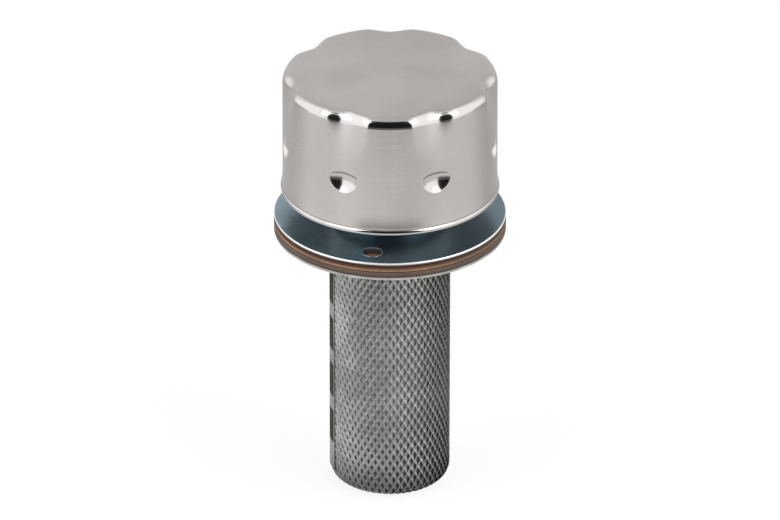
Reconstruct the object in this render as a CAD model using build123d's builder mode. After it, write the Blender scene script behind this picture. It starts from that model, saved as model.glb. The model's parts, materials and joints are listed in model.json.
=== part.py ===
"""Hydraulic filler breather: pressed vented cap on a bayonet flange, over a strainer basket.

Frame: millimetres, +Z up along the axis of revolution. The origin is the centre of the
screw circle, on the face that seats on the tank top (the underside of the basket flange).
The basket hangs below the seat and the cap stands above it. The front is -Y.
"""
import os
from math import asin, cos, degrees, pi, radians, sin, sqrt

from build123d import *

# ---------------------------------------------------------------- driving dimensions
# Clearances
slide_gap = 0.08            # round a part that slides on another
seat_gap = 0.05             # between welded or nested pressings
free_gap = 0.30             # round a part that only has to pass or to be located

# Flanges, gaskets and screws
flange_d = 83.0
bayonet_flange_t = 1.4
gasket_t = 2.15
basket_flange_t = 0.9
gasket_bore_d = 45.0
screw_pcd = 66.0
screw_hole_d = 7.0
screw_count = 3
screw_angle = -101.0        # first screw, just to the left of the front

# Bayonet neck, cams and lip
neck_d = 40.0
neck_wall = 1.0
neck_height = 3.8           # above the flange
lip_t = 1.4
lip_bore_d = 29.2
claw_count = 3
claw_angle = 90.0           # first claw, at the back
claw_width = 6.4
claw_t = 1.5
claw_clear = 0.2            # under the lip when the claws enter
notch_gap = 0.6             # on each side of a claw
notch_depth = 3.6           # from the lip bore towards the neck
lock_turn = 40.0            # turn that closes the bayonet, clockwise from above
cam_lead = 0.1              # step where a cam face starts under the lip
cam_inset = 0.3             # the cams stand back from the lip bore
cam_stop_angle = 4.0        # width of the stop at the end of each cam
cam_stop_gap_angle = 1.5    # between the stop and a claw at the end of its turn
cam_stop_t = 2.3
bridge_travel = 1.6         # how far the cams draw the claw bridge down

# Cap shell
cap_d = 76.7
cap_wall = 0.8
cap_rim_lift = 9.4          # air gap between the flange and the rim
cap_height = 45.9           # rim to crown
crown_edge_r = 3.0
flute_count = 7
flute_depth = 2.8
flute_width_angle = 29.0
flute_length = 21.5         # from the crown down to where a flute fades out
dimple_height = 19.5        # above the rim
dimple_length = 13.0
dimple_r = 3.7              # of the round nose that presses a dimple
dimple_offset = 0.5         # of that nose's axis outside the wall
nose_shares = (-1.0, -0.65, -0.25, 0.25, 0.65, 1.0)     # of its half length, where its cones meet
rim_bead_r = 1.2
rim_flare = 0.75            # the rim stands out from the wall by this much
rim_flare_height = 6.0
rim_crease = 0.35           # the wall meets the bead this far inside it
points_per_flute = 6        # points that carry each flute and lobe of the outline
crown_step = 0.04           # the drawn crown starts this far within the straight wall
flute_fade = 1.5            # how a flute's depth grows with height
flute_levels = (0.0, 0.35, 0.7, 1.0)    # shares of the flute length where its section is set

# Filter element and base pan in the cap
pan_t = 0.8
pan_floor_d = 41.0
pan_slope_d = 48.6
air_hole_d = 6.0
air_hole_count = 10
air_hole_pcd = 62.0
vent_hole_d = 4.0
vent_hole_count = 4
vent_hole_pcd = 20.0
core_d = 52.0
core_wall = 0.6
core_hole_d = 5.0
core_hole_count = 10
foam_d = 71.0
top_plate_t = 0.8
top_plate_bead = 0.7

# Cap seal, stem, spring
seal_t = 1.8
seal_d = 39.0
seal_bore_d = 30.4
stem_d = 6.0
stem_flat = 5.0             # across the two flats that turn the claw bridge
stem_shoulder_d = 9.0
stem_head_d = 10.0
stem_head_h = 1.8
stem_washer_d = 14.0
stem_washer_t = 1.0
bridge_hub_d = 15.0
spring_d = 10.4             # mean coil diameter
spring_wire_d = 1.3
spring_length = 11.0
spring_turns = 4.5
spring_wire_sides = 8       # the wire is modelled as a regular polygon
spring_washer_d = 14.4
spring_washer_t = 1.0
stem_nut_af = 8.0
stem_nut_h = 2.6
stem_end = 0.6              # stem left proud of its nut

# Strainer basket
basket_d = 43.4
basket_depth = 99.0         # from the seat to the basket's foot
basket_wall_t = 0.8
basket_corner_r = 5.0
basket_cup_h = 5.6          # height of the dished bottom, corner included
collar_t = 0.6
collar_length = 6.0
collar_bend_r = 1.5         # clears the seat all round the basket wall and its seam
mesh_columns = 11
mesh_rows = 10
mesh_strand = 2.0
mesh_border = 1.2
seam_angle = 198.0          # left side, a little to the front
seam_clear_angle = 20.0     # round the seam, where the mesh stays closed
seam_width = 4.4
seam_t = 0.45
seam_slot_length = 12.0
seam_slot_width = 1.5
seam_pitch = 18.0
bottom_hole_rings = ((6.6, 6), (12.6, 12))

# ---------------------------------------------------------------- levels and radii
lower_gasket_z = basket_flange_t
upper_gasket_z = lower_gasket_z + gasket_t
flange_z = upper_gasket_z + gasket_t
flange_top_z = flange_z + bayonet_flange_t
neck_top_z = flange_top_z + neck_height
lip_z = neck_top_z - lip_t
seal_z = neck_top_z
pan_z = seal_z + seal_t

rim_z = flange_top_z + cap_rim_lift
crown_z = rim_z + cap_height
flute_z = crown_z - flute_length
dimple_z = rim_z + dimple_height
pan_ring_z = rim_z + 2 * rim_bead_r

claw_top_z = lip_z - claw_clear
claw_z = claw_top_z - claw_t
spring_seat_z = claw_z - spring_length
washer_z = spring_seat_z - spring_washer_t
nut_z = washer_z - stem_nut_h
stem_end_z = nut_z - stem_end

flange_r = flange_d / 2
neck_r = neck_d / 2
neck_bore_r = neck_r - neck_wall
lip_r = lip_bore_d / 2
notch_r = lip_r + notch_depth
claw_r = notch_r - free_gap
cap_r = cap_d / 2
basket_r = basket_d / 2
basket_bore_r = basket_r - basket_wall_t
collar_r = basket_bore_r - seat_gap
collar_bore_r = collar_r - collar_t
stack_top_z = flange_top_z

os.makedirs("parts", exist_ok=True)


def save(name, builder):
    """Label a finished sub-part and write it as its own STEP file."""
    builder.part.label = name
    export_step(builder.part, f"parts/{name}.step")


# ---------------------------------------------------------------- flanges and gaskets
with BuildSketch() as screw_holes:
    with PolarLocations(screw_pcd / 2, screw_count, start_angle=screw_angle):
        Circle(screw_hole_d / 2)

claw_half_angle = degrees(asin(claw_width / 2 / lip_r))
cam_start_angle = degrees(asin((claw_width / 2 + notch_gap) / lip_r))
cam_stop_start = lock_turn + claw_half_angle + cam_stop_gap_angle
cam_end_angle = cam_stop_start + cam_stop_angle


def ring_sector(inner_r, outer_r, start_angle, end_angle):
    """Face of a ring sector that runs clockwise from start_angle to end_angle."""
    with BuildSketch() as sector:
        Circle(outer_r)
        Circle(inner_r, mode=Mode.SUBTRACT)
        with BuildLine(mode=Mode.PRIVATE) as wedge_lines:
            reach = 2 * outer_r
            Polyline(
                (0, 0),
                (reach * cos(radians(-start_angle)), reach * sin(radians(-start_angle))),
                (reach * cos(radians(-end_angle)), reach * sin(radians(-end_angle))),
                (0, 0),
            )
        make_face(wedge_lines.edges(), mode=Mode.INTERSECT)
    return sector.sketch


cam_bore_r = lip_r + cam_inset
cam_outer_r = neck_bore_r + neck_wall / 2
cam_root_z = lip_z + lip_t / 2
cam_face = ring_sector(cam_bore_r, cam_outer_r, cam_start_angle, cam_end_angle)
stop_face = ring_sector(cam_bore_r, cam_outer_r, cam_stop_start, cam_end_angle)
# The cam face is a plane hinged on the notch's edge, sloping down along the closing turn
# until the claws' leading corners have been drawn down by the bridge's travel.
cam_drop = bridge_travel + claw_clear - cam_lead - slide_gap
cam_slope = cam_drop / (claw_r * sin(radians(lock_turn + claw_half_angle - cam_start_angle)))
cam_plane = Plane(
    origin=(0, 0, lip_z - cam_lead),
    z_dir=(
        -cam_slope * sin(radians(cam_start_angle)),
        -cam_slope * cos(radians(cam_start_angle)),
        1,
    ),
)

with BuildPart() as cam:
    extrude(Plane.XY.offset(flange_z) * cam_face, amount=cam_root_z - flange_z)
    split(bisect_by=cam_plane, keep=Keep.TOP)
    extrude(Plane.XY.offset(lip_z - cam_stop_t) * stop_face, amount=cam_root_z - lip_z + cam_stop_t)

with BuildPart() as bayonet_flange:
    with BuildSketch(Plane.XZ):
        with BuildLine():
            Polyline(
                (neck_bore_r, flange_z),
                (flange_r, flange_z),
                (flange_r, flange_top_z),
                (neck_r, flange_top_z),
                (neck_r, neck_top_z),
                (lip_r, neck_top_z),
                (lip_r, lip_z),
                (neck_bore_r, lip_z),
                close=True,
            )
        make_face()
        chamfer(vertices().sort_by_distance((neck_r, neck_top_z))[0], length=neck_wall * 0.6)
        chamfer(vertices().group_by(Axis.X)[-1], length=bayonet_flange_t * 0.15)
    revolve(axis=Axis.Z)
    with PolarLocations(0, claw_count, start_angle=claw_angle):
        add(cam.part)
    with BuildSketch(Plane.XY.offset(lip_z)):
        with PolarLocations(notch_r / 2, claw_count, start_angle=claw_angle):
            Rectangle(notch_r, claw_width + 2 * notch_gap)
    extrude(amount=lip_t, mode=Mode.SUBTRACT)
    extrude(screw_holes.sketch, amount=stack_top_z, mode=Mode.SUBTRACT)
save("bayonet_flange", bayonet_flange)

for gasket_name, gasket_z in (("lower_gasket", lower_gasket_z), ("upper_gasket", upper_gasket_z)):
    with BuildPart() as gasket:
        with BuildSketch(Plane.XZ):
            with BuildLine():
                Polyline(
                    (gasket_bore_d / 2, gasket_z),
                    (flange_r, gasket_z),
                    (flange_r, gasket_z + gasket_t),
                    (gasket_bore_d / 2, gasket_z + gasket_t),
                    close=True,
                )
            make_face()
            chamfer(vertices().group_by(Axis.X)[-1], length=gasket_t * 0.12)
        revolve(axis=Axis.Z)
        extrude(screw_holes.sketch, amount=stack_top_z, mode=Mode.SUBTRACT)
    save(gasket_name, gasket)

# The basket flange and its collar are one drawn pressing.
with BuildPart() as basket_flange:
    with BuildSketch(Plane.XZ):
        with BuildLine():
            Polyline(
                (collar_bore_r, -collar_length),
                (collar_r, -collar_length),
                (collar_r, 0),
                (flange_r, 0),
                (flange_r, basket_flange_t),
                (collar_bore_r, basket_flange_t),
                close=True,
            )
        make_face()
        fillet(vertices().sort_by_distance((collar_r, 0))[0], radius=collar_bend_r)
        fillet(
            vertices().sort_by_distance((collar_bore_r, basket_flange_t))[0],
            radius=collar_bend_r + collar_t,
        )
    revolve(axis=Axis.Z)
    extrude(screw_holes.sketch, amount=stack_top_z, mode=Mode.SUBTRACT)
save("basket_flange", basket_flange)

# ---------------------------------------------------------------- strainer basket
wall_top_z = -collar_bend_r - seat_gap
wall_bottom_z = -basket_depth + basket_cup_h
mesh_height = wall_top_z - wall_bottom_z - 2 * mesh_border
mesh_pitch_z = mesh_height / (mesh_rows + 1)
mesh_pitch_angle = (360 - seam_clear_angle) / (mesh_columns + 0.5)
gap_width = radians(mesh_pitch_angle) * basket_r - mesh_strand
gap_height = 2 * mesh_pitch_z - 1.5 * mesh_strand


def mesh_gap_places():
    """Staggered places of the diamond gaps round the basket, clear of the seam."""
    places = []
    for row in range(mesh_rows):
        z = wall_top_z - mesh_border - (row + 1) * mesh_pitch_z
        first = seam_angle + seam_clear_angle / 2 + mesh_pitch_angle * (0.5 + 0.5 * (row % 2))
        for column in range(mesh_columns):
            places.append(Location((0, 0, z), (0, 0, first + column * mesh_pitch_angle)))
    return places


def diamond(width, height):
    """Face of a diamond in the YZ plane, centred on the origin."""
    with BuildSketch(Plane.YZ) as face:
        with BuildLine():
            Polyline((width / 2, 0), (0, height / 2), (-width / 2, 0), (0, -height / 2), close=True)
        make_face()
    return face.sketch


with BuildPart() as gap_tool:
    extrude(Pos(basket_bore_r - 2, 0, 0) * diamond(gap_width, gap_height), amount=basket_wall_t + 4)

with BuildPart() as basket_wall:
    with BuildSketch(Plane.XY.offset(wall_bottom_z)):
        Circle(basket_r)
        Circle(basket_bore_r, mode=Mode.SUBTRACT)
    extrude(amount=wall_top_z - wall_bottom_z)
    with Locations(*mesh_gap_places()):
        add(gap_tool.part, mode=Mode.SUBTRACT)
save("basket_wall", basket_wall)

with BuildPart() as basket_bottom:
    with BuildSketch(Plane.XZ):
        with BuildLine():
            Line((0, -basket_depth), (basket_r - basket_corner_r, -basket_depth))
            RadiusArc(
                (basket_r - basket_corner_r, -basket_depth),
                (basket_r, -basket_depth + basket_corner_r),
                -basket_corner_r,
            )
            Line((basket_r, -basket_depth + basket_corner_r), (basket_r, wall_bottom_z))
            Line((basket_r, wall_bottom_z), (basket_bore_r, wall_bottom_z))
            Line((basket_bore_r, wall_bottom_z), (basket_bore_r, -basket_depth + basket_corner_r))
            RadiusArc(
                (basket_bore_r, -basket_depth + basket_corner_r),
                (basket_r - basket_corner_r, -basket_depth + basket_wall_t),
                basket_corner_r - basket_wall_t,
            )
            Line((basket_r - basket_corner_r, -basket_depth + basket_wall_t), (0, -basket_depth + basket_wall_t))
            Line((0, -basket_depth + basket_wall_t), (0, -basket_depth))
        make_face()
    revolve(axis=Axis.Z)
    with BuildSketch(Plane.XY.offset(-basket_depth)):
        for ring_r, ring_count in bottom_hole_rings:
            with PolarLocations(ring_r, ring_count):
                RegularPolygon(mesh_strand, 4)
        RegularPolygon(mesh_strand, 4)
    extrude(amount=basket_wall_t, mode=Mode.SUBTRACT)
save("basket_bottom", basket_bottom)

# Seam strip: covers the butt joint of the mesh, welded between long open slots.
seam_bore_r = basket_r + seat_gap
seam_half_angle = degrees(seam_width / 2 / seam_bore_r)
seam_top_z = wall_top_z - mesh_border / 2
seam_bottom_z = wall_bottom_z + mesh_border / 2
seam_slot_count = int((seam_top_z - seam_bottom_z) / seam_pitch)
seam_mid_z = (seam_top_z + seam_bottom_z) / 2
seam_face = ring_sector(
    seam_bore_r, seam_bore_r + seam_t, -seam_angle - seam_half_angle, -seam_angle + seam_half_angle
)
with BuildPart() as basket_seam:
    extrude(Plane.XY.offset(seam_bottom_z) * seam_face, amount=seam_top_z - seam_bottom_z)
    with BuildSketch(Plane(origin=(0, 0, seam_mid_z), x_dir=(0, 0, 1),
                           z_dir=(cos(radians(seam_angle)), sin(radians(seam_angle)), 0))):
        with GridLocations(seam_pitch, 1, seam_slot_count, 1):
            SlotOverall(seam_slot_length, seam_slot_width)
    extrude(amount=basket_r + 2, mode=Mode.SUBTRACT)
save("basket_seam", basket_seam)

# ---------------------------------------------------------------- cap shell
lobe_angle = -90.0          # a lobe faces the front
flute_pitch = 360 / flute_count


def flute_profile(angle):
    """Depth share of a flute, 1 on its centre line and 0 on the lobes, at an angle from a lobe."""
    offset_angle = abs((angle % flute_pitch) - flute_pitch / 2)
    if offset_angle >= flute_width_angle / 2:
        return 0.0
    return (1 + cos(2 * pi * offset_angle / flute_width_angle)) / 2


def crown_outline(radius, depth):
    """Closed points of the fluted outline at one level of the crown."""
    steps = flute_count * points_per_flute
    points = []
    for step in range(steps):
        angle = 360 * step / steps
        r = radius - depth * flute_profile(angle)
        points.append((r * cos(radians(angle + lobe_angle)), r * sin(radians(angle + lobe_angle))))
    return points


def crown_section(level, radius, depth):
    """Face of the crown at one level."""
    with BuildSketch(Plane.XY.offset(level)) as section:
        with BuildLine():
            Spline(*crown_outline(radius, depth), periodic=True)
        make_face()
    return section.sketch


def crown_body(inset):
    """Solid inside the crown's outer skin, or inside its inner skin when inset by the wall."""
    top = crown_z - inset
    skin_r = cap_r - inset + (crown_step if inset else -crown_step)
    with BuildPart() as body:
        loft([
            crown_section(flute_z + share * (top - flute_z), skin_r, flute_depth * share ** flute_fade)
            for share in flute_levels
        ])
        fillet(edges().group_by(Axis.Z)[-1], radius=crown_edge_r - inset)
    return body.part


def dimple_nose(nose_r, length):
    """Spindle that presses a dimple, lying along the wall."""
    outline = [(nose_r * (1 - share ** 2), share * length / 2) for share in nose_shares]
    with BuildPart() as nose:
        with BuildSketch():
            with BuildLine():
                Polyline(*outline, close=True)
            make_face()
        revolve(axis=Axis.Y)
    return nose.part


skirt_top_z = rim_z + 2 * rim_bead_r + rim_flare_height
skirt_foot_z = rim_z + rim_bead_r
skirt_foot_r = cap_r + rim_flare - rim_crease
bead_centre_r = cap_r + rim_flare - rim_bead_r
dimple_outer = dimple_nose(dimple_r, dimple_length)
dimple_inner = dimple_nose(dimple_r + cap_wall, dimple_length + 2 * cap_wall)
dimple_places = [
    place * Pos(0, 0, dimple_z)
    for place in PolarLocations(
        cap_r + dimple_offset, flute_count, start_angle=lobe_angle + flute_pitch / 2
    ).locations
]
crown_outer = crown_body(0)
crown_inner = crown_body(cap_wall)
crown_wall = crown_outer - crown_inner

with BuildPart() as dimple_cavity:
    with BuildSketch(Plane.XY.offset(skirt_top_z)):
        Circle(cap_r - cap_wall)
    extrude(amount=flute_z - skirt_top_z)
    with Locations(*dimple_places):
        add(dimple_inner, mode=Mode.SUBTRACT)

with BuildPart() as cap_shell:
    with BuildSketch(Plane.XY.offset(skirt_top_z)):
        Circle(cap_r)
    extrude(amount=flute_z - skirt_top_z)
    add(dimple_cavity.part, mode=Mode.SUBTRACT)
    with Locations(*dimple_places):
        add(dimple_outer, mode=Mode.SUBTRACT)
    with BuildSketch(Plane.XZ):
        with BuildLine():
            TangentArc((cap_r, skirt_top_z), (skirt_foot_r, skirt_foot_z), tangent=(0, -1))
            Line((skirt_foot_r, skirt_foot_z), (skirt_foot_r - cap_wall, skirt_foot_z))
            TangentArc(
                (cap_r - cap_wall, skirt_top_z), (skirt_foot_r - cap_wall, skirt_foot_z), tangent=(0, -1)
            )
            Line((cap_r - cap_wall, skirt_top_z), (cap_r, skirt_top_z))
        make_face()
    revolve(axis=Axis.Z)
    with BuildSketch(Plane.XZ):
        with Locations((bead_centre_r, rim_z + rim_bead_r)):
            Circle(rim_bead_r)
    revolve(axis=Axis.Z)
    add(crown_wall)
save("cap_shell", cap_shell)

# ---------------------------------------------------------------- filter element and base pan
pan_r = cap_r - cap_wall - free_gap
element_z = pan_ring_z + pan_t
core_r = core_d / 2
foam_r = foam_d / 2
nose_reach = cap_r + dimple_offset - foam_r
plate_top_z = dimple_z - sqrt((dimple_r + cap_wall) ** 2 - nose_reach ** 2) - free_gap
plate_z = plate_top_z - top_plate_t

with BuildPart() as base_pan:
    with BuildSketch(Plane.XZ):
        with BuildLine():
            slope_in = pan_t * 0.75
            Polyline(
                (0, pan_z),
                (pan_floor_d / 2, pan_z),
                (pan_slope_d / 2, pan_ring_z),
                (pan_r, pan_ring_z),
                (pan_r, element_z),
                (pan_slope_d / 2 - slope_in, element_z),
                (pan_floor_d / 2 - slope_in, pan_z + pan_t),
                (0, pan_z + pan_t),
                close=True,
            )
        make_face()
    revolve(axis=Axis.Z)
    with BuildSketch(Plane.XY.offset(pan_z)):
        Circle(stem_d / 2 + seat_gap)
        with PolarLocations(vent_hole_pcd / 2, vent_hole_count):
            Circle(vent_hole_d / 2)
        with PolarLocations(air_hole_pcd / 2, air_hole_count):
            Circle(air_hole_d / 2)
    extrude(amount=element_z - pan_z, mode=Mode.SUBTRACT)
save("base_pan", base_pan)

core_height = plate_z - element_z
with BuildPart() as core_hole:
    with BuildSketch(Plane.YZ.offset(core_r - 2 * core_wall)):
        Circle(core_hole_d / 2)
    extrude(amount=3 * core_wall)

with BuildPart() as filter_core:
    with BuildSketch(Plane.XY.offset(element_z)):
        Circle(core_r)
        Circle(core_r - core_wall, mode=Mode.SUBTRACT)
    extrude(amount=core_height)
    with Locations((0, 0, element_z + core_height / 2)):
        with PolarLocations(0, core_hole_count):
            add(core_hole.part, mode=Mode.SUBTRACT)
save("filter_core", filter_core)

with BuildPart() as filter_foam:
    with BuildSketch(Plane.XY.offset(element_z)):
        Circle(foam_r)
        Circle(core_r + seat_gap, mode=Mode.SUBTRACT)
    extrude(amount=core_height)
save("filter_foam", filter_foam)

with BuildPart() as filter_top_plate:
    with BuildSketch(Plane.XZ):
        with BuildLine():
            inner_r = core_r - 2 * top_plate_t - top_plate_bead
            Polyline(
                (0, plate_z + top_plate_bead),
                (inner_r, plate_z + top_plate_bead),
                (inner_r + top_plate_bead, plate_z),
                (foam_r, plate_z),
                (foam_r, plate_top_z),
                (inner_r + top_plate_bead, plate_top_z),
                (inner_r, plate_top_z + top_plate_bead),
                (0, plate_top_z + top_plate_bead),
                close=True,
            )
        make_face()
    revolve(axis=Axis.Z)
save("filter_top_plate", filter_top_plate)

# ---------------------------------------------------------------- seal, stem, claw bridge, spring
with BuildPart() as cap_seal:
    with BuildSketch(Plane.XY.offset(seal_z)):
        Circle(seal_d / 2)
        Circle(seal_bore_d / 2, mode=Mode.SUBTRACT)
    extrude(amount=seal_t)
    chamfer(edges(), length=seal_t * 0.12)
save("cap_seal", cap_seal)

head_z = pan_z + pan_t + stem_washer_t
shoulder_z = claw_top_z + slide_gap
stem_r = stem_d / 2
with BuildPart() as centre_stem:
    with BuildSketch(Plane.XY.offset(stem_end_z)):
        Circle(stem_r)
        Rectangle(stem_flat, stem_d, mode=Mode.INTERSECT)
    extrude(amount=shoulder_z - stem_end_z)
    with BuildSketch(Plane.XY.offset(shoulder_z)):
        Circle(stem_shoulder_d / 2)
    extrude(amount=pan_z - shoulder_z)
    with BuildSketch(Plane.XY.offset(pan_z)):
        Circle(stem_r)
    extrude(amount=head_z - pan_z)
    with BuildSketch(Plane.XY.offset(head_z)):
        Circle(stem_head_d / 2)
    extrude(amount=stem_head_h)
    chamfer(edges().group_by(Axis.Z)[-1], length=stem_head_h * 0.5)
    chamfer(edges().group_by(Axis.Z)[0], length=0.4)
save("centre_stem", centre_stem)

for washer_name, level, outer_d, thickness in (
    ("stem_washer", pan_z + pan_t, stem_washer_d, stem_washer_t),
    ("spring_washer", washer_z, spring_washer_d, spring_washer_t),
):
    with BuildPart() as washer:
        with BuildSketch(Plane.XY.offset(level)):
            Circle(outer_d / 2)
            Circle(stem_r + seat_gap, mode=Mode.SUBTRACT)
        extrude(amount=thickness)
        chamfer(edges().group_by(Axis.Z)[-1].sort_by(SortBy.RADIUS)[-1], length=thickness * 0.2)
    save(washer_name, washer)

with BuildPart() as stem_nut:
    with BuildSketch(Plane.XY.offset(nut_z)):
        RegularPolygon(stem_nut_af / 2, 6, major_radius=False)
        Circle(stem_r + seat_gap, mode=Mode.SUBTRACT)
    extrude(amount=stem_nut_h)
save("stem_nut", stem_nut)

with BuildPart() as bayonet_bridge:
    with BuildSketch(Plane.XY.offset(claw_z)):
        Circle(bridge_hub_d / 2)
        with PolarLocations(claw_r / 2, claw_count, start_angle=claw_angle):
            Rectangle(claw_r, claw_width)
        Circle(claw_r, mode=Mode.INTERSECT)
    extrude(amount=claw_t)
    hub_corners = edges().filter_by(Axis.Z).filter_by(
        lambda e: sqrt(e.center().X ** 2 + e.center().Y ** 2) < claw_r * 0.7
    )
    fillet(hub_corners, radius=1.5)
    with BuildSketch(Plane.XY.offset(claw_z)):
        Circle(stem_r + slide_gap)
        Rectangle(stem_flat + 2 * slide_gap, stem_d + 1, mode=Mode.INTERSECT)
    extrude(amount=claw_t, mode=Mode.SUBTRACT)
save("bayonet_bridge", bayonet_bridge)

wire_r = spring_wire_d / 2
coil_foot_z = spring_seat_z + wire_r + seat_gap
coil_rise = spring_length - spring_wire_d - 2 * seat_gap
with BuildPart() as bridge_spring:
    with BuildLine(Plane.XY.offset(coil_foot_z)) as coil:
        Helix(pitch=coil_rise / spring_turns, height=coil_rise, radius=spring_d / 2)
    with BuildSketch(Plane(origin=coil.line @ 0, z_dir=coil.line % 0)):
        RegularPolygon(wire_r, spring_wire_sides)
    sweep(path=coil.line)
save("bridge_spring", bridge_spring)
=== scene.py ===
"""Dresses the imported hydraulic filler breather: chromed cap, zinc flange, gaskets, mesh basket.

All sizes are metres in the part's frame: +Z up along the axis of revolution, the front at -Y.
"""
import json
import logging
import math
from dataclasses import dataclass, field
from enum import Enum
from typing import Callable, NamedTuple, Sequence

import bmesh
import bpy
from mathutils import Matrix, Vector

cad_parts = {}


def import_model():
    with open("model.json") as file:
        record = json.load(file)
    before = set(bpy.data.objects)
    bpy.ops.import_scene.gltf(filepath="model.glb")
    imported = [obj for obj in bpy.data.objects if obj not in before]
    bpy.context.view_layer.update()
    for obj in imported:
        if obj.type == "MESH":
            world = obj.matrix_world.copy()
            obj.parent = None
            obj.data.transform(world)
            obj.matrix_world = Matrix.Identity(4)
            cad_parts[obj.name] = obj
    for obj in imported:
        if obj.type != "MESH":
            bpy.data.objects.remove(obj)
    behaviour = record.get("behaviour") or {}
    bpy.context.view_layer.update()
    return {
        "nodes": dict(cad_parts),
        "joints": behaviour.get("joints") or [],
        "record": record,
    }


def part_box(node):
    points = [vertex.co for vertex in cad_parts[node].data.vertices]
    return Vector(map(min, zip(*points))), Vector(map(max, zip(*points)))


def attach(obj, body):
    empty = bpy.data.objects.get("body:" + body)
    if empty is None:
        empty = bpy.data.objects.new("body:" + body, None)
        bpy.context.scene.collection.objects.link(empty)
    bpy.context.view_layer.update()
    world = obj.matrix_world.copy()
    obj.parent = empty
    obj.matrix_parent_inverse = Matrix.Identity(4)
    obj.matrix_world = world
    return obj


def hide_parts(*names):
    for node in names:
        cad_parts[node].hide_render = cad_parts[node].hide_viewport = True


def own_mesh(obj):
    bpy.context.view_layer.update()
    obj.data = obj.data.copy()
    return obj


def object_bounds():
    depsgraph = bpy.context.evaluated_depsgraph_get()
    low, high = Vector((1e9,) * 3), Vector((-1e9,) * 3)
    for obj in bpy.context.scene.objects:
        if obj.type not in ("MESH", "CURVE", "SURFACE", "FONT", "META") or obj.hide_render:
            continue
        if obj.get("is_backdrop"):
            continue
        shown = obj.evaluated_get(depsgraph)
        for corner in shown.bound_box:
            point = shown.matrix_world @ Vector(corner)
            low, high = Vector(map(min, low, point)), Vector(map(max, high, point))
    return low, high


log = logging.getLogger("breather")
MM = 0.001
Point = tuple[float, float, float]
Colour = tuple[float, float, float, float]


def linear(level: float) -> float:
    """Linear share of one sRGB level given from 0 to 255."""
    share = level / 255
    return share / 12.92 if share <= 0.04045 else ((share + 0.055) / 1.055) ** 2.4


def colour(red: float, green: float, blue: float) -> Colour:
    """Linear RGBA of an sRGB colour given from 0 to 255."""
    return (linear(red), linear(green), linear(blue), 1.0)


# ------------------------------------------------------------------------------ node maths
class Signal:
    """A value socket in a node tree. Its operators add the tree's Math nodes."""

    def __init__(self, graph: "Graph", socket: bpy.types.NodeSocket) -> None:
        """Wraps one output socket of a graph."""
        self.graph = graph
        self.socket = socket

    def _math(self, operation: str, *values: "float | Signal") -> "Signal":
        """The Math node of an operation on these values."""
        return self.graph.node("ShaderNodeMath", {"operation": operation}, *values)

    def __add__(self, other: "float | Signal") -> "Signal":
        """Sum."""
        return self._math("ADD", self, other)

    def __sub__(self, other: "float | Signal") -> "Signal":
        """Difference."""
        return self._math("SUBTRACT", self, other)

    def __rsub__(self, other: "float | Signal") -> "Signal":
        """Reflected difference."""
        return self._math("SUBTRACT", other, self)

    def __mul__(self, other: "float | Signal") -> "Signal":
        """Product."""
        return self._math("MULTIPLY", self, other)

    def __truediv__(self, other: "float | Signal") -> "Signal":
        """Quotient."""
        return self._math("DIVIDE", self, other)

    def __pow__(self, other: "float | Signal") -> "Signal":
        """Power."""
        return self._math("POWER", self, other)

    def __neg__(self) -> "Signal":
        """Opposite value."""
        return self * -1.0

    __radd__ = __add__
    __rmul__ = __mul__

    def sine(self) -> "Signal":
        """Sine of the value in radians."""
        return self._math("SINE", self)

    def cosine(self) -> "Signal":
        """Cosine of the value in radians."""
        return self._math("COSINE", self)

    def heading(self, other: "float | Signal") -> "Signal":
        """Angle in radians whose tangent is this value over the other, with its quadrant."""
        return self._math("ARCTAN2", self, other)

    def size(self) -> "Signal":
        """Absolute value."""
        return self._math("ABSOLUTE", self)

    def wrap(self, period: float) -> "Signal":
        """Remainder from 0 up to the period."""
        return self._math("FLOORED_MODULO", self, period)

    def above(self, limit: "float | Signal") -> "Signal":
        """1 where the value is above the limit, else 0."""
        return self._math("GREATER_THAN", self, limit)

    def least(self, other: "float | Signal") -> "Signal":
        """The smaller of two values."""
        return self._math("MINIMUM", self, other)

    def most(self, other: "float | Signal") -> "Signal":
        """The larger of two values."""
        return self._math("MAXIMUM", self, other)

    def step(self, low: float, high: float) -> "Signal":
        """Smooth step from 0 at low to 1 at high."""
        settings = {"interpolation_type": "SMOOTHSTEP", "clamp": True}
        return self.graph.node("ShaderNodeMapRange", settings, self, low, high)


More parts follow.
